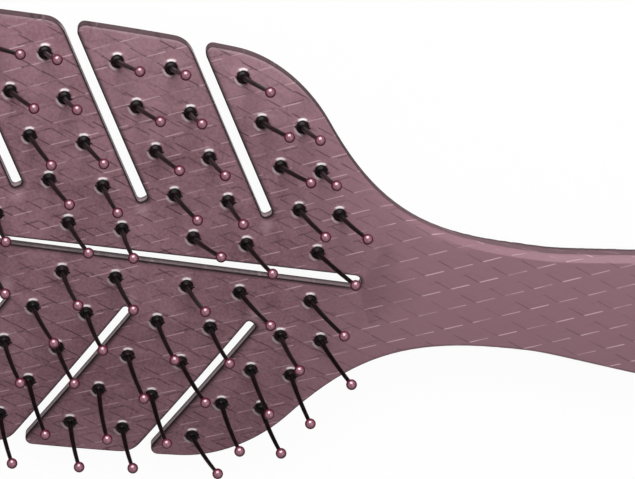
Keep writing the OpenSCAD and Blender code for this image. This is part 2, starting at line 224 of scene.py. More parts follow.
class Plan:
    """The brush seen from the pin side, in metres, from the same sizes as the CAD part."""

    def __init__(self, b, p):
        self.b = b
        self.p = p
        self.slot_run = (SLOTS - 1) * b.lobe_pitch
        whole = b.tip_len + self.slot_run + b.neck_len + b.handle_len
        self.tip_x = -whole / 2
        self.end_x = whole / 2
        self.first_slot_x = self.tip_x + b.tip_len
        self.last_slot_x = self.first_slot_x + self.slot_run
        self.neck_x = self.last_slot_x + b.neck_len
        self.out_dir = Vector((-math.sin(b.sweep), math.cos(b.sweep)))
        self.cross_dir = Vector((math.cos(b.sweep), math.sin(b.sweep)))
        head_drop = b.crown_r - math.sqrt((b.crown_r - b.plate_t) ** 2 - (b.head_w / 2) ** 2)
        self.crown_z = max(head_drop, b.handle_t)
        self.half = self.half_outline()
        self.rows = self.row_places()

    def half_outline(self, steps=22):
        """Points of the left half of the outline, from the tip to the end of the handle.

        The spans are Bezier curves, with their points as shares of the lengths beside them."""
        b = self.b
        half_w = b.head_w / 2
        belly = Vector((self.first_slot_x + 0.235 * self.slot_run, half_w))
        shoulder = Vector((self.last_slot_x - 0.19 * b.neck_len, 0.965 * half_w))
        flare = Vector((self.last_slot_x + 0.176 * b.neck_len, 0.693 * half_w))
        neck = Vector((self.neck_x, b.neck_w / 2))
        grip = Vector((self.neck_x + 0.647 * b.handle_len, b.grip_w / 2))
        tip = Vector((self.tip_x, 0))
        end = Vector((self.end_x, 0))
        along = Vector((1, 0))
        shoulder_dir = Vector((1, -0.076))
        flare_dir = Vector((1, -1.33))
        tip_room = belly.x - self.tip_x
        belly_room = shoulder.x - belly.x
        end_room = self.end_x - grip.x
        spans = [
            (tip, Vector((0.15 * tip_room, 0.52 * half_w)), -0.385 * tip_room * along, belly),
            (belly, 0.32 * belly_room * along, -0.295 * belly_room * shoulder_dir, shoulder),
            (shoulder, 0.15 * b.neck_len * shoulder_dir, -0.08 * b.neck_len * flare_dir, flare),
            (flare, 0.217 * b.neck_len * flare_dir, -0.415 * b.neck_len * along, neck),
            (neck, 0.1 * b.handle_len * along, -0.33 * b.handle_len * along, grip),
            (grip, 0.56 * end_room * along, Vector((0, 0.58 * b.grip_w / 2)), end),
        ]
        points = [tip]
        for p0, leave, arrive, p3 in spans:
            p1 = p0 + leave
            p2 = p3 + arrive
            for i in range(1, steps + 1):
                t = i / steps
                s = 1 - t
                points.append(s ** 3 * p0 + 3 * s * s * t * p1 + 3 * s * t * t * p2 + t ** 3 * p3)
        return points

    def edge_y(self, x):
        """Half width of the outline at x."""
        for a, b in zip(self.half, self.half[1:]):
            if a.x <= x <= b.x and b.x > a.x:
                return a.y + (b.y - a.y) * (x - a.x) / (b.x - a.x)
        return 0.0

    def edge_dir(self, x):
        """Direction of the outline at x."""
        step = 0.05 * self.b.lobe_pitch
        return Vector((2 * step, self.edge_y(x + step) - self.edge_y(x - step))).normalized()

    def edge_point(self, p):
        """Where the line along out_dir from p meets the outline."""
        hit = p
        for _ in range(4):
            hit = p + self.out_dir * (self.edge_y(hit.x) - p.y) / self.out_dir.y
        return hit

    def slot_arcs(self, x):
        """The four rounded corners of a slot, in the order of a walk from the tip to the handle."""
        b = self.b
        base = Vector((x, b.slot_inner_y))
        near = base - self.cross_dir * b.slot_w / 2
        far = base + self.cross_dir * b.slot_w / 2
        heel = self.edge_point(near)
        point = self.edge_point(far)
        end_r = 0.35 * b.slot_w
        return [
            corner(heel, -self.edge_dir(heel.x - b.lobe_heel_r), -self.out_dir, b.lobe_heel_r, 8),
            corner(near, self.out_dir, self.cross_dir, end_r, 5),
            corner(far, -self.cross_dir, self.out_dir, end_r, 5),
            corner(point, -self.out_dir, self.edge_dir(point.x + b.lobe_tip_r), b.lobe_tip_r, 7),
        ]

    def body_loop(self):
        """The outline with its slots, counterclockwise seen from the pin side."""
        upper = []
        rest = list(self.half)
        for i in range(SLOTS):
            arcs = self.slot_arcs(self.first_slot_x + i * self.b.lobe_pitch)
            upper += [p for p in rest if p.x < arcs[0][0].x]
            for arc in arcs:
                upper += arc
            rest = [p for p in rest if p.x > arcs[3][-1].x]
        upper += rest
        lower = [Vector((p.x, -p.y)) for p in upper[1:-1]]
        return [*reversed(upper), *lower]

    def midrib_loop(self):
        """The tapered slot along the midrib, clockwise."""
        b = self.b
        start = Vector((self.first_slot_x - 0.34 * b.tip_len, 0))
        stop = Vector((self.last_slot_x + 0.34 * b.neck_len, 0))
        right_end = [stop + b.midrib_w / 2 * unit_at(90 - 180 * i / 10) for i in range(11)]
        left_end = [start + b.midrib_tip_w / 2 * unit_at(270 - 180 * i / 8) for i in range(9)]
        sides = 24
        top = [left_end[-1].lerp(right_end[0], i / sides) for i in range(1, sides)]
        bottom = [right_end[-1].lerp(left_end[0], i / sides) for i in range(1, sides)]
        return right_end + bottom + left_end + top

    def row_places(self):
        """Pin places of each row of one half, from the neck to the tip."""
        b, p = self.b, self.p
        line = self.last_slot_x + (b.slot_inner_y - p.first_pin_y) * math.tan(b.sweep)
        gap = (b.lobe_pitch - p.row_pitch) / 2
        xs = [line + gap + 0.76 * p.row_pitch]
        xs += [line - i * b.lobe_pitch + off for i in range(SLOTS) for off in (gap, -gap)]
        xs += [line - self.slot_run - gap - i * TIP_PITCH * p.row_pitch for i in range(1, TIP_ROWS + 1)]
        rows = []
        for row, x in enumerate(xs):
            first = 1 if row == 0 else 0
            start = Vector((x, p.first_pin_y))
            places = [start + i * p.pin_pitch * self.out_dir for i in range(first, MOST_PINS)]
            rows.append([q for i, q in enumerate(places) if i == 0 or self.fits(q)])
        return rows

    def fits(self, q):
        """Whether a pin at q keeps clear of the outline."""
        return (self.edge_y(q.x) - q.y) * self.edge_dir(q.x).x > self.p.pin_edge

    def inside(self, x, y):
        """How far a point lies inside the outline."""
        return (self.edge_y(x) - abs(y)) * self.edge_dir(x).x

    def land_factor(self, point):
        """How far the loops beside an edge spread: wider at slots, and so wide at the handle as its bevel."""
        x, y = point
        if x > self.last_slot_x:
            handle = smooth(x, self.neck_x - 0.5 * self.b.neck_len, self.neck_x - 0.2 * self.b.neck_len)
            return 1 + (self.bevel_at(y) / LANDS[1] - 1) * handle
        in_slot = smooth(self.inside(x, y), 2 * MM, 6 * MM)
        return 1 + 0.4 * in_slot * smooth(self.last_slot_x - x, 0, 3 * MM)

    def bevel_at(self, y):
        """Width of the handle's bevel, from its right edge to its left one."""
        b = self.b
        return b.bevel_right_w + (b.bevel_w - b.bevel_right_w) * smooth(y, -0.15 * b.grip_w, 0.35 * b.grip_w)

    def head_top(self, y):
        """Height of the head's pin side."""
        return self.crown_z - self.b.crown_r + math.sqrt(self.b.crown_r ** 2 - y * y)

    def head_back(self, y):
        """Height of the head's back."""
        inner = self.b.crown_r - self.b.plate_t
        return self.crown_z - self.b.crown_r + math.sqrt(inner ** 2 - y * y)


def unit_at(degrees):
    """The unit vector at an angle."""
    a = math.radians(degrees)
    return Vector((math.cos(a), math.sin(a)))


def corner(c, a, b, r, steps):
    """Points of an arc of radius r that rounds the corner c between the directions a and b."""
    half = math.acos(a.dot(b)) / 2
    middle = c + (a + b).normalized() * r / math.sin(half)
    start = (c + a * r / math.tan(half) - middle).normalized()
    stop = (c + b * r / math.tan(half) - middle).normalized()
    turn = start.angle_signed(stop)
    return [middle + r * (Matrix.Rotation(-turn * i / steps, 2) @ start) for i in range(steps + 1)]


def circle(c, r, steps):
    """A clockwise circle, as the edge of a hole."""
    return [c + r * unit_at(-360 * i / steps) for i in range(steps)]


def smooth(x, start, stop):
    """A smooth step from 0 at start to 1 at stop."""
    t = min(max((x - start) / (stop - start), 0), 1)
    return t * t * (3 - 2 * t)


def put_mesh(bm, name, material):
    """The bmesh as a new object in the scene."""
    mesh = bpy.data.meshes.new(name)
    bm.to_mesh(mesh)
    bm.free()
    mesh.materials.append(material)
    made = bpy.data.objects.new(name, mesh)
    bpy.context.scene.collection.objects.link(made)
    return made


def put_piece(bm, name, material):
    """The bmesh as a smooth piece that rides on the brush's only body."""
    piece = put_mesh(bm, name, material)
    piece.data.shade_smooth()
    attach(piece, "root")
    return piece


def add_node(tree, kind, inputs=None, **settings):
    """Adds a shader node, sets its settings, and sets its inputs or links them to other nodes."""
    node = tree.nodes.new("ShaderNode" + kind)
    for key, value in settings.items():
        setattr(node, key, value)
    for key, value in (inputs or {}).items():
        if isinstance(value, bpy.types.Node):
            value = next(socket for socket in value.outputs if socket.enabled)
        if isinstance(value, bpy.types.NodeSocket):
            tree.links.new(value, node.inputs[key])
        else:
            node.inputs[key].default_value = value
    return node


def new_material(name):
    """An empty node material."""
    material = bpy.data.materials.new(name)
    material.use_nodes = True
    material.node_tree.nodes.clear()
    return material, material.node_tree


def rgba(colour_value):
    """A colour with full alpha."""
    return (*colour_value, 1.0)


def cell_counts(tree, place, side, degrees, start):
    """Counts of rhombic cells along the rising and the falling direction, with a lattice node at start."""
    moved = add_node(tree, "VectorMath", {0: place, 1: start}, operation="SUBTRACT")
    c = 2 * side * math.cos(math.radians(degrees))
    s = 2 * side * math.sin(math.radians(degrees))
    return [
        add_node(tree, "VectorMath", {0: moved, 1: (1 / c, sign / s, 0)},
                 operation="DOT_PRODUCT").outputs["Value"]
        for sign in (1, -1)
    ]


def strokes(tree, line, run, width, drawn, middle):
    """Strokes along the whole numbers of line, drawn on a share of each step of run about its middle."""
    across = add_node(tree, "Math", {0: line, 1: 0.5}, operation="PINGPONG")
    thin = add_node(tree, "MapRange", {0: across, 1: 0.4 * width, 2: width, 3: 1, 4: 0},
                    interpolation_type="SMOOTHSTEP")
    shifted = add_node(tree, "Math", {0: run, 1: middle}, operation="SUBTRACT")
    along = add_node(tree, "Math", {0: shifted, 1: 0.5}, operation="PINGPONG")
    short = add_node(tree, "MapRange", {0: along, 1: drawn / 2 - 0.05, 2: drawn / 2, 3: 1, 4: 0},
                     interpolation_type="SMOOTHSTEP")
    return add_node(tree, "Math", {0: thin, 1: short}, operation="MULTIPLY")


def scale_strokes(tree):
    """Rhombic scales: strokes that rise, strokes that fall to their left corner, and those of the back."""
    scales = add_node(tree, "Attribute", attribute_name="scales").outputs["Vector"]
    side = 5.47 * MM
    degrees = 21.3
    gap = side * math.sin(math.radians(2 * degrees))
    rise, fall = cell_counts(tree, scales, side, degrees, (48.8 * MM, -1.2 * MM, 0))
    rising = strokes(tree, fall, rise, 0.14 * MM / gap, 0.68, 0.34)
    falling = strokes(tree, rise, fall, 0.15 * MM / gap, 0.62, -0.31)
    # The strokes of the back show through, softer and only dark
    back_rise, back_fall = cell_counts(tree, scales, side, degrees + 2, (1.9 * MM, 2.3 * MM, 0))
    through_rising = strokes(tree, back_fall, back_rise, 0.2 * MM / gap, 0.6, 0.7)
    through_falling = strokes(tree, back_rise, back_fall, 0.2 * MM / gap, 0.6, 0.3)
    through = add_node(tree, "Math", {0: through_rising, 1: through_falling}, operation="MAXIMUM")
    return rising, falling, through


def painted_slot_light(tree, plan, along, across):
    """Painted light: soft pale patches inside the slots' inner ends."""
    b = plan.b
    over = add_node(tree, "Math", {0: along, 1: plan.first_slot_x}, operation="SUBTRACT")
    over = add_node(tree, "Math", {0: over, 1: b.lobe_pitch / 2}, operation="PINGPONG")
    away = add_node(tree, "Math", {0: across}, operation="ABSOLUTE")
    away = add_node(tree, "Math", {0: away, 1: b.slot_inner_y - 1.7 * MM}, operation="SUBTRACT")
    near = add_node(tree, "CombineXYZ", {0: over, 1: away})
    near = add_node(tree, "VectorMath", {0: near}, operation="LENGTH").outputs["Value"]
    painted_light_patch = add_node(tree, "MapRange", {0: near, 1: 0.0, 2: 2.0 * MM, 3: 0.25, 4: 0.0},
                     interpolation_type="SMOOTHSTEP")
    past_tip = add_node(tree, "Math", {0: along, 1: plan.first_slot_x - 0.4 * b.lobe_pitch},
                        operation="GREATER_THAN")
    return add_node(tree, "Math", {0: painted_light_patch, 1: past_tip}, operation="MULTIPLY")


def mauve_moulding(plan, f):
    """Injection-moulded translucent plastic: satin, embossed with scales; painted shade deepens its edges,
    painted highlights and shade mark strokes, lips and rims.
    """
    b = plan.b
    material, tree = new_material("mauve_translucent_moulding")
    place = add_node(tree, "TexCoord").outputs["Object"]
    along, across, _ = add_node(tree, "SeparateXYZ", {0: place}).outputs
    edge, lip, flank = [
        add_node(tree, "Attribute", attribute_name=name).outputs["Fac"]
        for name in ("edge", "lip", "flank")
    ]
    rising, falling, through = scale_strokes(tree)
    # Wear makes the strokes' painted highlights and shade uneven. On the handle the painted highlights are
    # stronger and the painted shade fainter
    wear = add_node(tree, "TexNoise", {"Vector": place, "Scale": 0.17 / MM, "Detail": 2.0})
    wear = add_node(tree, "MapRange", {0: wear, 1: 0.36, 2: 0.6, 3: 0.3, 4: 1.0})
    handle = add_node(tree, "MapRange", {0: along, 1: plan.last_slot_x, 2: plan.neck_x - 0.4 * b.neck_len})
    head, highlight_share, shade_share = [
        add_node(tree, "Math", {0: handle, 1: gain, 2: on_head}, operation="MULTIPLY_ADD")
        for gain, on_head in ((-0.9, 1.0), (0.3, 0.7), (-0.5, 1.0))
    ]
    # Painted highlight and shade: on the handle's flanks the falling strokes get the highlight and the rising
    # ones the shade
    light = add_node(tree, "Mix", {0: flank, 2: rising, 3: falling})
    dark = add_node(tree, "Mix", {0: flank, 2: falling, 3: rising})
    # Depth clouds about 15 mm across, and a fine speckle
    cloud = add_node(tree, "TexNoise", {"Vector": place, "Scale": 0.07 / MM, "Detail": 4.0, "Roughness": 0.6})
    cloud = add_node(tree, "MapRange", {0: cloud, 1: 0.38, 2: 0.62})
    speckle = add_node(tree, "TexNoise", {"Vector": place, "Scale": 1.9 / MM, "Detail": 2.0})
    speckle = add_node(tree, "MapRange", {0: speckle, 1: 0.35, 2: 0.65})
    speckle = add_node(tree, "Math", {0: speckle, 1: head}, operation="MULTIPLY")
    # Knit lines, where the plastic met behind the pin holes
    warp = add_node(tree, "TexNoise", {"Vector": place, "Scale": 0.06 / MM, "Detail": 1.0}).outputs["Color"]
    bent = add_node(tree, "VectorMath", {0: warp, 1: (0.02, 0.02, 0.0), 2: place}, operation="MULTIPLY_ADD")
    knit = add_node(tree, "TexVoronoi", {"Vector": bent, "Scale": 0.075 / MM}, feature="DISTANCE_TO_EDGE")
    knit = add_node(tree, "MapRange", {0: knit, 1: 0.0, 2: 0.014, 3: 0.35, 4: 0.0})
    painted_light_patch = painted_slot_light(tree, plan, along, across)
    by_slots = add_node(tree, "MapRange", {
        0: along, 1: plan.last_slot_x, 2: plan.last_slot_x + 0.2 * b.neck_len, 3: 1.0, 4: 0.0})
    # Painted light: the left half's outer lobes are paler from the second one on
    pale = add_node(tree, "MapRange", {0: across, 1: 0.25 * b.head_w, 2: 0.5 * b.head_w, 3: 0.0, 4: 0.1})
    second = add_node(tree, "MapRange", {
        0: along, 1: plan.first_slot_x + 1.2 * b.lobe_pitch, 2: plan.first_slot_x + 1.7 * b.lobe_pitch})
    tone = add_node(tree, "Mix", {0: cloud, 6: rgba(f.body_deep), 7: rgba(f.body)}, data_type="RGBA")
    tone = add_node(tree, "Mix", {0: handle, 6: tone, 7: rgba(f.body_thick)}, data_type="RGBA")
    # Each layer is laid on with the product of its factors. The back's strokes, knit lines and speckle are
    # the plastic's own;
    # the rest are painted: light at the slot ends and outer lobes, shade and highlights on the strokes, shade
    # at edges, highlights at lips
    layers = (
        ((through, head, wear, 0.8), f.painted_shade_and_pattern),
        ((knit, by_slots), f.painted_shade_and_pattern),
        ((speckle, 0.1), f.painted_light_and_speckle),
        ((painted_light_patch, by_slots), f.painted_light_and_speckle),
        ((pale, second), f.painted_light_and_speckle),
        ((dark, wear, shade_share, 0.95), f.painted_shade_and_pattern),
        ((light, wear, highlight_share, 0.75), f.painted_light_and_speckle),
        ((edge,), f.painted_edge_shade),
        ((lip,), f.lip),
    )
    for (share, *factors), layer_colour in layers:
        for factor in factors:
            share = add_node(tree, "Math", {0: share, 1: factor}, operation="MULTIPLY")
        tone = add_node(tree, "Mix", {0: share, 6: tone, 7: rgba(layer_colour)}, data_type="RGBA")
    raised = add_node(tree, "Math", {0: rising, 1: falling}, operation="MAXIMUM")
    raised = add_node(tree, "Math", {0: speckle, 1: 0.25, 2: raised}, operation="MULTIPLY_ADD")
    bump = add_node(tree, "Bump", {"Strength": 0.35, "Distance": 0.05 * MM, "Height": raised})
    # Walls and edges are duller than the faces
    dull = add_node(tree, "MapRange", {0: edge, 3: 0.4, 4: 0.85})
    shader = add_node(tree, "BsdfPrincipled", {
        "Base Color": tone, "Roughness": dull, "IOR": 1.49, "Normal": bump, "Specular IOR Level": 0.12})
    add_node(tree, "OutputMaterial", {0: shader})
    return material


def black_nylon(f):
    """Extruded black nylon: glossy, with a plum tinge."""
    material, tree = new_material("black_nylon")
    place = add_node(tree, "TexCoord").outputs["Object"]
    grain = add_node(tree, "TexNoise", {"Vector": place, "Scale": 0.9 / MM, "Detail": 2.0})
    tinge = add_node(tree, "MapRange", {0: grain, 1: 0.4, 2: 0.7})
    tone = add_node(tree, "Mix", {0: tinge, 6: rgba(f.nylon), 7: rgba(f.nylon_sheen)}, data_type="RGBA")
    bump = add_node(tree, "Bump", {"Strength": 0.2, "Distance": 0.02 * MM, "Height": grain})
    shader = add_node(tree, "BsdfPrincipled", {
        "Base Color": tone, "Roughness": 0.3, "IOR": 1.53, "Normal": bump, "Specular IOR Level": 0.06})
    add_node(tree, "OutputMaterial", {0: shader})
    return material


def mauve_resin(f):
    """Glossy translucent resin of the ball tips: paler in the middle of a ball, deep at its rim."""
    material, tree = new_material("mauve_ball_resin")
    place = add_node(tree, "TexCoord").outputs["Object"]
    facing = add_node(tree, "LayerWeight", {"Blend": 0.5}).outputs["Facing"]
    cloud = add_node(tree, "TexNoise", {"Vector": place, "Scale": 0.8 / MM, "Detail": 1.0})
    depth = add_node(tree, "Math", {0: cloud, 1: 0.2, 2: facing}, operation="MULTIPLY_ADD")
    deep = add_node(tree, "MapRange", {0: depth, 1: 0.25, 2: 0.52})
    tone = add_node(tree, "Mix", {0: deep, 6: rgba(f.ball), 7: rgba(f.ball_deep)}, data_type="RGBA")
    # The rim mirrors less than the middle
    gloss = add_node(tree, "MapRange", {0: depth, 1: 0.3, 2: 0.55, 3: 0.8, 4: 0.02})
    shader = add_node(tree, "BsdfPrincipled", {
        "Base Color": tone, "Roughness": 0.12, "IOR": 1.5, "Specular IOR Level": gloss})
    add_node(tree, "OutputMaterial", {0: shader})
    return material


def rays_to_whiten(tree):
    """1 for the rays that see the floor and the surroundings as plain white."""
    path = add_node(tree, "LightPath")
    seen = path.outputs["Is Camera Ray"]
    for ray in ("Is Glossy Ray", "Is Transmission Ray"):
        seen = add_node(tree, "Math", {0: seen, 1: path.outputs[ray]}, operation="MAXIMUM")
    return seen


def white_paper():
    """Matte white paper that reads as plain white, and keeps a soft shadow in its last twentieth."""
    material, tree = new_material("matte_white_paper")
    share_lit = add_node(tree, "Math", {0: rays_to_whiten(tree), 1: 0.95}, operation="MULTIPLY")
    paper = add_node(tree, "BsdfDiffuse", {"Color": (0.95, 0.95, 0.95, 1)})
    white = add_node(tree, "Emission", {"Color": (1, 1, 1, 1), "Strength": 1.0})
    mix = add_node(tree, "MixShader", {0: share_lit, 1: paper, 2: white})
    add_node(tree, "OutputMaterial", {0: mix})
    return material


def plan_of(scene):
    """The plan worked out from the scene's sizes."""
    return Plan(scene.brush_body_sizes, scene.brush_pin_sizes)


def rim(bm, inward, points, section, widen=lambda point: 1):
    """Extrudes a closed loop of plan points through steps of reach into the plastic and of height.

    widen gives the factor on the reach at a point. Returns the loop of edges at each step."""
    reach, height = section[0]
    verts = []
    for i, point in enumerate(points):
        along = (points[(i + 1) % len(points)] - points[i - 1]).normalized()
        normal = widen(point) * Vector((-along.y, along.x, 0))
        vert = bm.verts.new(Vector((point.x, point.y, height)) + reach * normal)
        vert[inward] = normal
        verts.append(vert)
    loops = [[bm.edges.new((verts[i - 1], verts[i])) for i in range(len(verts))]]
    for (last_reach, _), (reach, height) in zip(section, section[1:]):
        made = bmesh.ops.extrude_edge_only(bm, edges=loops[-1])["geom"]
        fresh = {g for g in made if isinstance(g, bmesh.types.BMVert)}
        for vert in fresh:
            vert.co += (reach - last_reach) * vert[inward]
            vert.co.z = height
        loops.append([g for g in made if isinstance(g, bmesh.types.BMEdge) and fresh.issuperset(g.verts)])
    return loops


def cut_grid(bm, geometry, axis, places):
    """Cuts the geometry at each place along an axis, so that it can be bent smoothly."""
    for place in places:
        geometry = bmesh.ops.bisect_plane(
            bm, geom=geometry, dist=CUT_SAME, plane_co=axis * place, plane_no=axis)["geom"]
    return geometry


def spaced(start, stop, step):
    """Places between start and stop, about a step apart."""
    count = max(1, round((stop - start) / step))
    return [start + (stop - start) * i / count for i in range(1, count)]


def flat_body(plan):
    """The body as a flat plate, with rounded edges, slots, seats and hanging hole."""
    b, p = plan.b, plan.p
    bm = bmesh.new()
    inward = bm.verts.layers.float_vector.new("inward")
    open_section = [
        *[(land, 0) for land in LANDS], (0, 0), *[(0, -step * b.plate_t) for step in WALL_STEPS],
        (0, -b.plate_t), *[(land, -b.plate_t) for land in reversed(LANDS)],
    ]
    from_edge = bm.verts.layers.float.new("from_edge")
    hang = circle(Vector((plan.end_x - b.hang_inset, 0)), b.hang_d / 2, steps=40)
    front_corners, back_corners = [], []
    for points in (plan.body_loop(), plan.midrib_loop(), hang):
        loops = rim(bm, inward, points, open_section, plan.land_factor)
        front_corners += loops[len(LANDS)]
        back_corners += loops[-1 - len(LANDS)]
        for (reach, _), loop in zip(open_section, loops):
            for vert in {v for edge in loop for v in edge.verts}:
                vert[from_edge] = reach * vert[inward].length
    off_edge = 2 * LANDS[0]
    shank_r = p.shank_d / 2 + SEAT_ROOM
    step_out = (p.head_d - p.shank_d) / 2
    seat = [
        (b.lip_w, 0), (0.8 * b.lip_w, 0.55 * b.lip_rise), (0.5 * b.lip_w, b.lip_rise),
        (0.2 * b.lip_w, 0.6 * b.lip_rise), (0, -0.1 * MM), (0, p.head_t - b.plate_t),
        (step_out, p.head_t - b.plate_t), (step_out, -b.plate_t), (step_out + 0.1 * MM, -b.plate_t),
    ]
    for side in (LEFT, RIGHT):
        for places in plan.rows:
            for q in places:
                loops = rim(bm, inward, circle(Vector((q.x, side * q.y)), shank_r, steps=24), seat)
                for vert in {v for loop in loops for edge in loop for v in edge.verts}:
                    vert[from_edge] = off_edge
    for corners, offset in ((front_corners, b.edge_round), (back_corners, b.back_edge_round)):
        bmesh.ops.bevel(bm, geom=corners, offset=offset, offset_type="OFFSET", segments=3, profile=0.5,
                        affect="EDGES", material=-1)
    for height in (0, -b.plate_t):
        ring = [e for e in bm.edges if e.is_boundary and abs(e.verts[0].co.z - height) < SAME]
        bmesh.ops.triangle_fill(bm, use_beauty=True, use_dissolve=False, edges=ring, normal=(0, 0, 1))
    if any(e.is_boundary for e in bm.edges):
        raise RuntimeError("The plate isn't closed: slots, pin seats or edges overlap")
    return bm


def mark_body(plan, bm):
    """Writes where the flat plate has painted shade (edge) or painted highlight (lip).

    The face has painted shade beside a slot, most of all on the slot's handle side. A slot's wall is paler,
    with a faint painted highlight part way down, and its painted shade deepens downwards; the outline's wall
    is in deep painted shade. The left outline has a faint painted highlight as a pale rim on the face. A
    pin's lip has a painted highlight on the left, fainter on the right towards the tip, and painted shadow
    inside its right half."""
    b, p = plan.b, plan.p
    from_edge = bm.verts.layers.float["from_edge"]
    edge = bm.verts.layers.float.new("edge")
    lip = bm.verts.layers.float.new("lip")
    places = [(q.x, side * q.y, 0) for side in (LEFT, RIGHT) for row in plan.rows for q in row]
    tree = KDTree(len(places))
    for i, place in enumerate(places):
        tree.insert(place, i)
    tree.balance()
    inward = bm.verts.layers.float_vector["inward"]
    lip_r = p.shank_d / 2 + b.lip_w
    for vert in bm.verts:
        x, y, z = vert.co
        hole, _, from_pin = tree.find((x, y, 0))
        wall = min(-z, b.plate_t + z)
        if from_pin > p.head_d / 2 + 0.5 * MM:
            in_slot = smooth(plan.inside(x, y), 0.6 * MM, 1.6 * MM)
            away = vert[inward].normalized()
            left_outline = (1 - in_slot) * max(-away.y, 0)
            if wall > 0.01 * MM:
                # Painted shade on the walls: a slot's wall is paler and deepens downwards, the outline's wall
                # is deep; a faint painted highlight runs part way down a slot's wall
                slot_wall_painted_shade = 0.35 * smooth(-z, b.edge_round, b.plate_t) if -z > 1.2 * b.edge_round else 1
                vert[edge] = in_slot * slot_wall_painted_shade + (1 - in_slot) - 0.25 * left_outline
                vert[lip] = 0.16 * in_slot * smooth(wall, 0.3 * MM, 1.1 * MM)
            else:
                # Painted shade on the face beside a slot, reaching furthest on its handle side
                shade = b.edge_shade * (0.55 + max(0.64 * away.x - 0.15 * away.y, 0))
                vert[edge] = in_slot * min(max(1.1 * (1 - vert[from_edge] / shade), 0), 1)
                # Painted highlight: a faint pale rim on the face along the left outline's lobes
                by_lobes = 1 - smooth(x, plan.last_slot_x, plan.last_slot_x + 9 * MM)
                rim_share = 1 - smooth(vert[from_edge], 0.1 * MM, 0.8 * MM)
                vert[lip] = 0.1 * left_outline * by_lobes * rim_share
        elif z > -0.05 * MM and from_pin > p.shank_d / 2:
            way = (Vector((x, y, 0)) - hole) / from_pin
            # Painted highlight: a bright crescent on the left of the lip and a fainter one to the right
            # towards the tip
            above = smooth(way.y - 0.17 * way.x, 0.8, 0.97)
            below = 0.22 * smooth(-0.75 * way.y - 0.65 * way.x, 0.6, 0.95)
            # Painted shadow inside the right half of the hole, round the shank
            inner_half = 1 - smooth(from_pin, p.shank_d / 2, lip_r - 0.2 * MM)
            vert[edge] = 0.9 * smooth(-way.y, 0.3, 0.8) * inner_half
            vert[lip] = (above + below) * (1 - smooth(from_pin, lip_r - 0.25 * MM, lip_r))


def bend_body(plan, bm):
    """Bends the flat plate to the head's crown and swells it into the handle.

    Writes the place of each point in the scale pattern, unrolled over the handle's flanks."""
    b = plan.b
    scales = bm.verts.layers.float_vector.new("scales")
    flank = bm.verts.layers.float.new("flank")
    edge = bm.verts.layers.float["edge"]
    outline = [q for q in plan.half if q.x > plan.last_slot_x]
    fine = [start.lerp(stop, k / 10) for start, stop in zip(outline, outline[1:]) for k in range(10)]
    tree = KDTree(2 * len(fine))
    for i, q in enumerate(fine):
        tree.insert((q.x, q.y, 0), 2 * i)
        tree.insert((q.x, -q.y, 0), 2 * i + 1)
    tree.balance()
    nose = 0.9 * b.handle_t
    rise_x = plan.last_slot_x + 0.8 * b.neck_len
    for vert in bm.verts:
        x, y, depth = vert.co.x, vert.co.y, -vert.co.z / b.plate_t
        top, back = plan.head_top(y), plan.head_back(y)
        grown = smooth(x, plan.last_slot_x + 0.2 * b.neck_len, rise_x)
        down = 0
        if x > plan.last_slot_x:
            gap = tree.find((x, y, 0))[2]
            bevel = plan.bevel_at(y)
            shoulder = 0.8 * max(bevel - gap, 0)
            face = plan.crown_z - y * y / (2 * b.handle_crown_r) - shoulder
            across = min(abs(y), 0.8 * b.handle_back_r)
            under = plan.crown_z - b.handle_t + b.handle_back_r
            under -= math.sqrt(b.handle_back_r ** 2 - across ** 2)
            near = max(b.back_round - gap, 0)
            under += b.back_round - math.sqrt(b.back_round ** 2 - near ** 2)
            t = min(max((x - plan.end_x + nose) / nose, 0), 1)
            under = max(under, plan.crown_z - b.handle_t / 2 * (1 + math.sqrt(1 - t * t)))
            top += (face - top) * grown
            back += (under - back) * smooth(x, plan.last_slot_x + 0.42 * b.neck_len, plan.neck_x)
            down = (shoulder + (top - back) * depth) * grown
            vert[flank] = smooth(down, 0.1 * bevel, 0.8 * bevel) * (depth < BACK_DEPTH)
            # Painted shade on the handle's walls, deepest towards the back
            flank_painted_shade = (0.52 + 0.45 * smooth(depth, 0.75, 0.95)) * (FACE_DEPTH < depth < BACK_DEPTH)
            vert[edge] += (flank_painted_shade - vert[edge]) * grown
        vert[scales] = (x, y + math.copysign(down, y) * (depth < BACK_DEPTH), 0)
        vert.co.z = top + (back - top) * depth


def with_faces(verts):
    """The vertices with every edge and face that lies wholly among them."""
    inside = set(verts)
    edges = {e for v in verts for e in v.link_edges if inside.issuperset(e.verts)}
    faces = {f for v in verts for f in v.link_faces if inside.issuperset(f.verts)}
    return [*verts, *edges, *faces]


class BRUSH_OT_body(bpy.types.Operator):
    """Mould the one-piece head and handle"""

    bl_idname = "brush.body"
    bl_label = "Body"

    def execute(self, context):
        scene = context.scene
        plan = plan_of(scene)
        bm = flat_body(plan)
        half_w = plan.b.head_w / 2
        # From the last slot on, the body swells into the handle, and its grid is finer
        swell_x = plan.last_slot_x
        cut_grid(bm, bm.verts[:] + bm.edges[:] + bm.faces[:], ALONG, [swell_x])
        head = [v for v in bm.verts if v.co.x < swell_x + CUT_SAME]
        cut_grid(bm, with_faces(head), ACROSS, spaced(-half_w, half_w, 4 * MM))
        handle = [v for v in bm.verts if v.co.x > swell_x - CUT_SAME]
        geometry = cut_grid(bm, with_faces(handle), ACROSS, spaced(-half_w, half_w, 1.1 * MM))
        cut_grid(bm, geometry, ALONG, spaced(swell_x, plan.end_x, 1.6 * MM))
        bmesh.ops.remove_doubles(bm, verts=bm.verts[:], dist=MERGE_SAME)
        mark_body(plan, bm)
        bmesh.ops.recalc_face_normals(bm, faces=bm.faces[:])
        bend_body(plan, bm)
        piece = put_piece(bm, "vented_body", mauve_moulding(plan, scene.brush_finishes))
        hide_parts("brush_body")
        return {"FINISHED"}


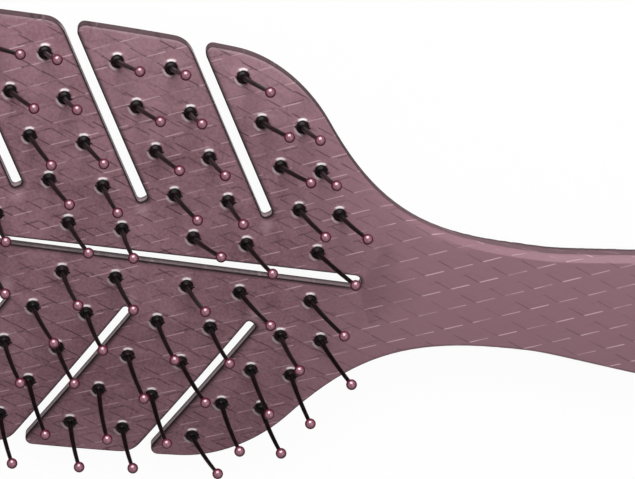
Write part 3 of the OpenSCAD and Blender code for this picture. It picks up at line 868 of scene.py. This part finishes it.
def pin_stand(side, row, number, stray):
    """Lean towards the handle and tilt to the left of one pin, in radians."""
    dice = random.Random(1000 * row + 10 * number + side)
    lean = LONG_LEAN[side] if row % 2 == 1 else SHORT_LEAN[side]
    tilt = RIGHT_TILT if side == RIGHT else 0
    if number == 0 and row < NECK_ROWS:
        lean += NECK_LEAN
    more_lean, more_tilt = BENT_PINS[side].get((row + 1, number), (0, 0))
    lean = math.radians(lean + more_lean) + dice.uniform(-stray, stray)
    tilt = math.radians(tilt + more_tilt) + dice.uniform(-stray, stray)
    return lean, tilt


def turned(bm, profile, steps):
    """Spins a profile of radius and height round Z, and returns its vertices."""
    known = set(bm.verts)
    verts = [bm.verts.new((r, 0, z)) for r, z in profile]
    edges = [bm.edges.new(pair) for pair in zip(verts, verts[1:])]
    bmesh.ops.spin(bm, geom=verts + edges, cent=(0, 0, 0), axis=(0, 0, 1), angle=2 * math.pi,
                   steps=steps, use_merge=True)
    bmesh.ops.remove_doubles(bm, verts=[v for v in bm.verts if v not in known], dist=SAME)
    fresh = [v for v in bm.verts if v not in known]
    bmesh.ops.recalc_face_normals(bm, faces=list({f for v in fresh for f in v.link_faces}))
    return fresh


def on_plate(plan, side, q):
    """The transform that puts a pin on the plate's pin side at q, square to the curved plate."""
    slope = math.asin(q.y / plan.b.crown_r)
    spot = Vector((q.x, side * q.y, plan.head_top(q.y)))
    return Matrix.Translation(spot) @ Matrix.Rotation(-side * slope, 4, "X")


def shaft_axis(s, height, bow, lean, tilt):
    """Middle of a shaft at the length s from the plate: it leans from its root and bows on its way."""
    way = Vector((math.tan(lean), math.tan(tilt), 1)).normalized()
    aside = Vector((way.x, way.y, 0)).normalized()
    return way * s - aside * bow * 4 * (s / height) * (1 - s / height)


def add_pin(bm, plan, height, lean, tilt, place):
    """One pin: head, shank, wings, collar and a shaft that leans, bows and tapers."""
    p = plan.p
    plate_t = plan.b.plate_t
    head_r, shank_r, root_r, end_r = p.head_d / 2, p.shank_d / 2, p.root_d / 2, p.shaft_d / 2
    stop = height - 0.3 * p.ball_d
    foot = turned(bm, [
        (0, -plate_t), (0.25 * head_r, -plate_t), (0.3 * head_r, -plate_t + 0.12 * MM),
        (0.86 * head_r, -plate_t + 0.02 * MM), (0.97 * head_r, -plate_t + 0.12 * MM),
        (0.98 * head_r, p.head_t - plate_t), (shank_r, p.head_t - plate_t),
        (shank_r, 0.02 * MM), (0.9 * shank_r, 0.12 * MM), (0.7 * shank_r, 0.2 * MM),
        (1.3 * root_r, 0.28 * MM), (1.05 * root_r, 0.45 * MM), (0.7 * root_r, 0.7 * MM)], steps=20)
    shaft = turned(bm, [
        (root_r + (end_r - root_r) * (s / stop) ** 0.7, s)
        for s in (0.2 * MM, 0.9 * MM, *spaced(0.9 * MM, stop, (stop - 0.9 * MM) / 8), stop)], steps=14)
    for vert in shaft:
        s = vert.co.z
        vert.co += shaft_axis(s, height, p.bow, lean, tilt) - Vector((0, 0, s))
    wings = []
    for sign in (1, -1):
        made = bmesh.ops.create_cube(bm, size=1)["verts"]
        for vert in made:
            outer = vert.co.x > 0
            vert.co.x = sign * (p.wing_span / 2 if outer else 0.6 * shank_r)
            vert.co.y *= p.wing_w * (0.5 if outer else 0.65)
            vert.co.z = p.wing_rise * (0.7 if outer else 1) if vert.co.z > 0 else -1.5 * MM
        bmesh.ops.recalc_face_normals(bm, faces=list({f for v in made for f in v.link_faces}))
        wings += made
    bmesh.ops.transform(bm, matrix=place, verts=foot + shaft + wings)


def add_ball(bm, plan, height, lean, tilt, place):
    """One ball tip, with the short sleeve that grips the shaft."""
    p = plan.p
    r = p.ball_d / 2
    sleeve_r = p.shaft_d / 2 + SLEEVE_WALL
    start = math.asin(sleeve_r / r)
    arc = [start, *spaced(start, math.pi, (math.pi - start) / 10)]
    verts = turned(bm, [
        (p.shaft_d / 2 - 0.05 * MM, -r - 0.1 * MM), (sleeve_r, -r - 0.08 * MM),
        *[(r * math.sin(a), -r * math.cos(a)) for a in arc], (0, r)], steps=20)
    way = Vector((math.tan(lean), math.tan(tilt), 1))
    bmesh.ops.transform(bm, matrix=way.to_track_quat("Z", "X").to_matrix().to_4x4(), verts=verts)
    bmesh.ops.translate(bm, vec=shaft_axis(height, height, p.bow, lean, tilt), verts=verts)
    bmesh.ops.transform(bm, matrix=place, verts=verts)


def set_rows(scene, kind, material, add):
    """Makes one piece of each row: calls add for each of its pins."""
    plan = plan_of(scene)
    p = plan.p
    for side in (LEFT, RIGHT):
        for row, places in enumerate(plan.rows):
            bm = bmesh.new()
            height = p.long_pin if row % 2 == 1 else p.short_pin
            for number, q in enumerate(places):
                lean, tilt = pin_stand(side, row, number, p.stray)
                add(bm, plan, height, lean, tilt, on_plate(plan, side, q))
            name = f"{SIDE_NAMES[side]}_{kind}_{row + 1}"
            piece = put_piece(bm, f"{name}_dressed", material)
            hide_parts(name)


class BRUSH_OT_pins(bpy.types.Operator):
    """Push the nylon pins into the head"""

    bl_idname = "brush.pins"
    bl_label = "Pins"

    def execute(self, context):
        set_rows(context.scene, "pins", black_nylon(context.scene.brush_finishes), add_pin)
        return {"FINISHED"}


class BRUSH_OT_tips(bpy.types.Operator):
    """Fit the ball tips on the pins"""

    bl_idname = "brush.tips"
    bl_label = "Ball tips"

    def execute(self, context):
        set_rows(context.scene, "tips", mauve_resin(context.scene.brush_finishes), add_ball)
        return {"FINISHED"}


def add_lamp(name, place, size, power, only_gloss=False):
    """A soft square lamp that faces the origin, or a softbox that only shows in reflections."""
    data = bpy.data.lights.new(name, "AREA")
    data.size = size
    data.energy = power
    lamp = bpy.data.objects.new(name, data)
    lamp.location = place
    lamp.visible_diffuse = not only_gloss
    lamp.rotation_euler = (-Vector(place)).to_track_quat("-Z", "Y").to_euler()
    bpy.context.scene.collection.objects.link(lamp)


def lay_floor(s):
    """The white paper under the brush."""
    bm = bmesh.new()
    bmesh.ops.create_grid(bm, x_segments=2, y_segments=2, size=3)
    bmesh.ops.translate(bm, vec=(0, 0, -s.floor_drop), verts=bm.verts[:])
    floor = put_mesh(bm, "floor", white_paper())


def set_camera(scene, s):
    """The camera of the photograph, turned about the crown of the head."""
    data = bpy.data.cameras.new("camera")
    data.sensor_width = SENSOR
    data.lens = s.scale * s.distance / MM * SENSOR / PHOTO_WIDTH
    data.clip_start = 0.05
    camera = bpy.data.objects.new("camera", data)
    turn = Matrix.Rotation(s.roll, 3, "Z") @ Matrix.Rotation(s.pitch, 3, "X") @ Matrix.Rotation(s.yaw, 3, "Y")
    crown = Vector((0, 0, plan_of(scene).crown_z))
    spot = crown + turn.transposed() @ Vector((-s.across, -s.down, s.distance))
    camera.matrix_world = Matrix.Translation(spot) @ turn.transposed().to_4x4()
    scene.collection.objects.link(camera)
    scene.camera = camera


def set_world(scene):
    """White surroundings that light the brush softly."""
    world = bpy.data.worlds.new("studio")
    world.use_nodes = True
    tree = world.node_tree
    tree.nodes.clear()
    strength = add_node(tree, "MapRange", {0: rays_to_whiten(tree), 3: SKY_LIGHT, 4: 1.0})
    light = add_node(tree, "Background", {"Color": (1, 1, 1, 1), "Strength": strength})
    add_node(tree, "OutputWorld", {0: light})
    scene.world = world


class BRUSH_OT_stage(bpy.types.Operator):
    """Set the floor, the light and the camera"""

    bl_idname = "brush.stage"
    bl_label = "Stage"

    def execute(self, context):
        scene = context.scene
        lay_floor(scene.brush_stage)
        set_camera(scene, scene.brush_stage)
        set_world(scene)
        add_lamp("key", (-0.3, 1.05, 0.62), size=0.8, power=16)
        add_lamp("fill", (0.5, 0.1, 1.1), size=0.8, power=3)
        add_lamp("softbox", (-0.31, 1.08, 0.64), size=1.4, power=30, only_gloss=True)
        scene.view_settings.view_transform = "Standard"
        return {"FINISHED"}


class BRUSH_PT_panel(bpy.types.Panel):
    """Sidebar panel with the brush's sizes and steps"""

    bl_label = "Detangling Brush"
    bl_idname = "BRUSH_PT_panel"
    bl_space_type = "VIEW_3D"
    bl_region_type = "UI"
    bl_category = "Brush"

    def draw(self, context):
        scene = context.scene
        for name in GROUPS:
            box = self.layout.box()
            for key in GROUPS[name].__annotations__:
                box.prop(getattr(scene, name), key)
        for operator in OPERATORS:
            self.layout.operator(operator.bl_idname)


GROUPS = {
    "brush_body_sizes": BrushBodySizes,
    "brush_pin_sizes": BrushPinSizes,
    "brush_finishes": BrushFinishes,
    "brush_stage": BrushStage,
}
OPERATORS = (BRUSH_OT_body, BRUSH_OT_pins, BRUSH_OT_tips, BRUSH_OT_stage)
CLASSES = (*GROUPS.values(), *OPERATORS, BRUSH_PT_panel)


def register():
    for cls in CLASSES:
        bpy.utils.register_class(cls)
    for name, group in GROUPS.items():
        setattr(bpy.types.Scene, name, PointerProperty(type=group))


def unregister():
    for name in reversed(GROUPS):
        delattr(bpy.types.Scene, name)
    for cls in reversed(CLASSES):
        bpy.utils.unregister_class(cls)


def main():
    register()
    bpy.ops.brush.body()
    bpy.ops.brush.pins()
    bpy.ops.brush.tips()
    bpy.ops.brush.stage()


if __name__ == "__main__":
    main()
